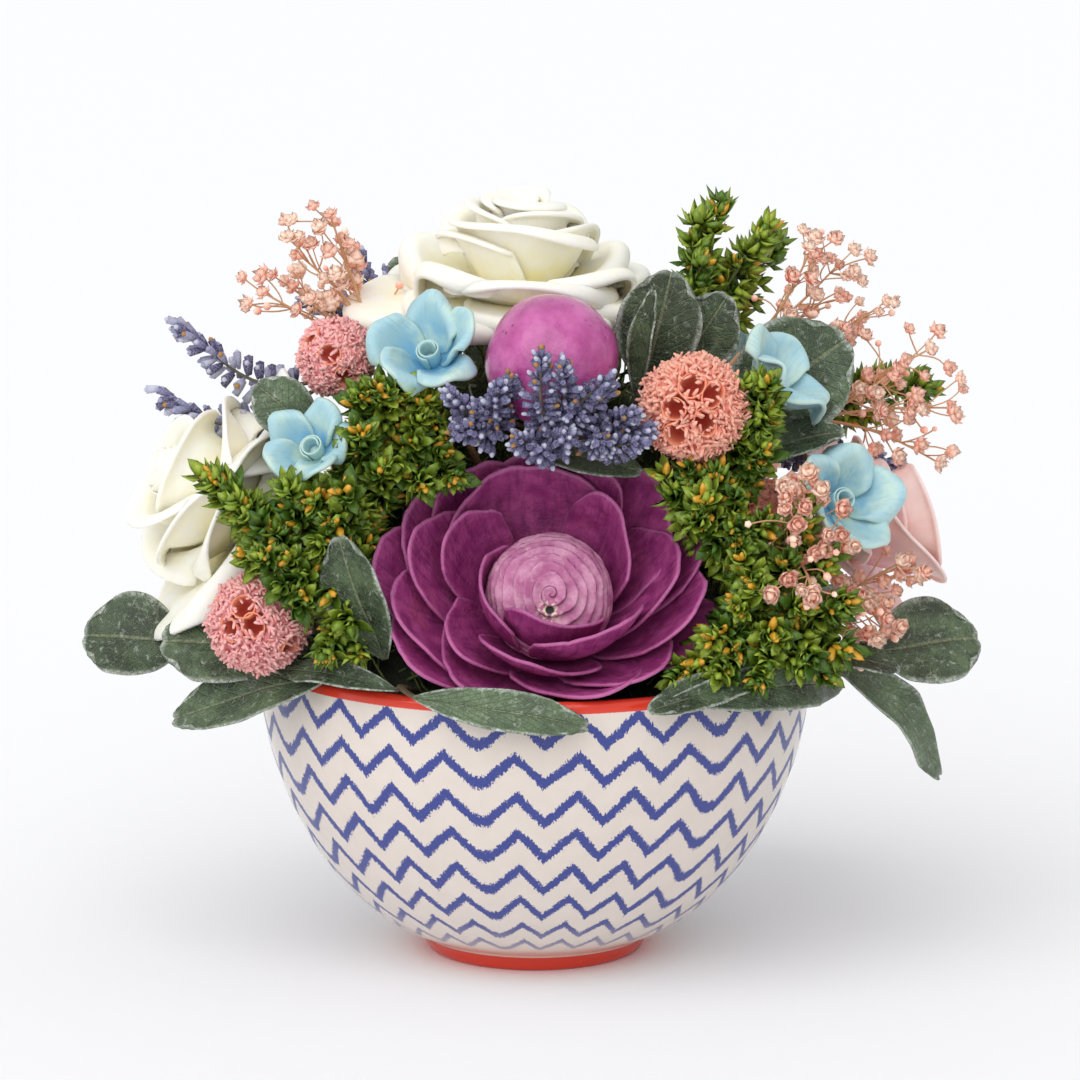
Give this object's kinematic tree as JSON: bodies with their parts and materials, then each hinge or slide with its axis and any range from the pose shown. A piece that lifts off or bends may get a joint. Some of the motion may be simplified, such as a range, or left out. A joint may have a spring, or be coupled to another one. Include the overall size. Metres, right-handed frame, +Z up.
{
  "type": "dried flower bowl arrangement",
  "caption": "Footed round glazed bowl with a zigzag pattern, filled with a dome of carved-petal flowers, seed heads, dried sprays and preserved leaves.",
  "frame": {"origin": "middle of the box's underside: the bowl's axis on the surface that its foot stands on", "axes": "+Z up, out of the bowl; -Y the front, which the large purple flower faces; +X to the right seen from the front"},
  "size_m": [0.2436, 0.1667, 0.2085],
  "materials": {
    "bowl_glaze": "cream glaze with a blue zigzag pattern and red bands",
    "dry_foam": "dry floral foam",
    "cream_petal": "shaved pith petals, ivory",
    "pink_petal": "shaved pith petals, pale pink",
    "purple_petal": "dyed wood petals round a rolled shaving",
    "orchid_pod": "dyed seed pod, satin",
    "blue_petal": "thick pith petals, pale blue",
    "coral_fringe": "dyed seed head with a crumbly fringe",
    "lavender_bud": "dried calyxes and buds",
    "green_bract": "dried bracts with golden buds",
    "peach_blossom": "dried blossoms on thin stems",
    "preserved_leaf": "preserved leaves, waxy"
  },
  "bodies": {
    "root": {"blue_flower_1": "blue_petal", "blue_flower_2": "blue_petal", "blue_flower_3": "blue_petal", "blue_flower_4": "blue_petal", "blue_flower_5": "blue_petal", "bowl": "bowl_glaze", "coral_head_1": "coral_fringe", "coral_head_2": "coral_fringe", "coral_head_3": "coral_fringe", "coral_head_4": "coral_fringe", "coral_head_5": "coral_fringe", "foam": "dry_foam", "green_back_left": "green_bract", "green_back_right": "green_bract", "green_left_low": "green_bract", "green_left_mid": "green_bract", "green_left_tall": "green_bract", "green_right": "green_bract", "green_right_low": "green_bract", "green_right_mid": "green_bract", "green_right_tall": "green_bract", "green_top_right": "green_bract", "gypsophila_back": "peach_blossom", "gypsophila_front_right": "peach_blossom", "gypsophila_low_right": "peach_blossom", "gypsophila_right": "peach_blossom", "gypsophila_top_left": "peach_blossom", "gypsophila_top_right": "peach_blossom", "lavender_back": "lavender_bud", "lavender_front": "lavender_bud", "lavender_front_left": "lavender_bud", "lavender_front_right": "lavender_bud", "lavender_left": "lavender_bud", "lavender_right": "lavender_bud", "leaf_above_purple": "preserved_leaf", "leaf_back_left": "preserved_leaf", "leaf_back_right": "preserved_leaf", "leaf_back_rim": "preserved_leaf", "leaf_back_top": "preserved_leaf", "leaf_behind_blue": "preserved_leaf", "leaf_beside_purple": "preserved_leaf", "leaf_big_right": "preserved_leaf", "leaf_dark_top": "preserved_leaf", "leaf_far_left": "preserved_leaf", "leaf_far_right": "preserved_leaf", "leaf_front_left": "preserved_leaf", "leaf_front_rim": "preserved_leaf", "leaf_low_right": "preserved_leaf", "leaf_right_rim": "preserved_leaf", "leaf_under_blue": "preserved_leaf", "pink_rose_back": "pink_petal", "pink_rose_right": "pink_petal", "purple_ball": "orchid_pod", "purple_flower": "purple_petal", "white_rose_left": "cream_petal", "white_rose_top": "cream_petal"}
  },
  "joints": []
}
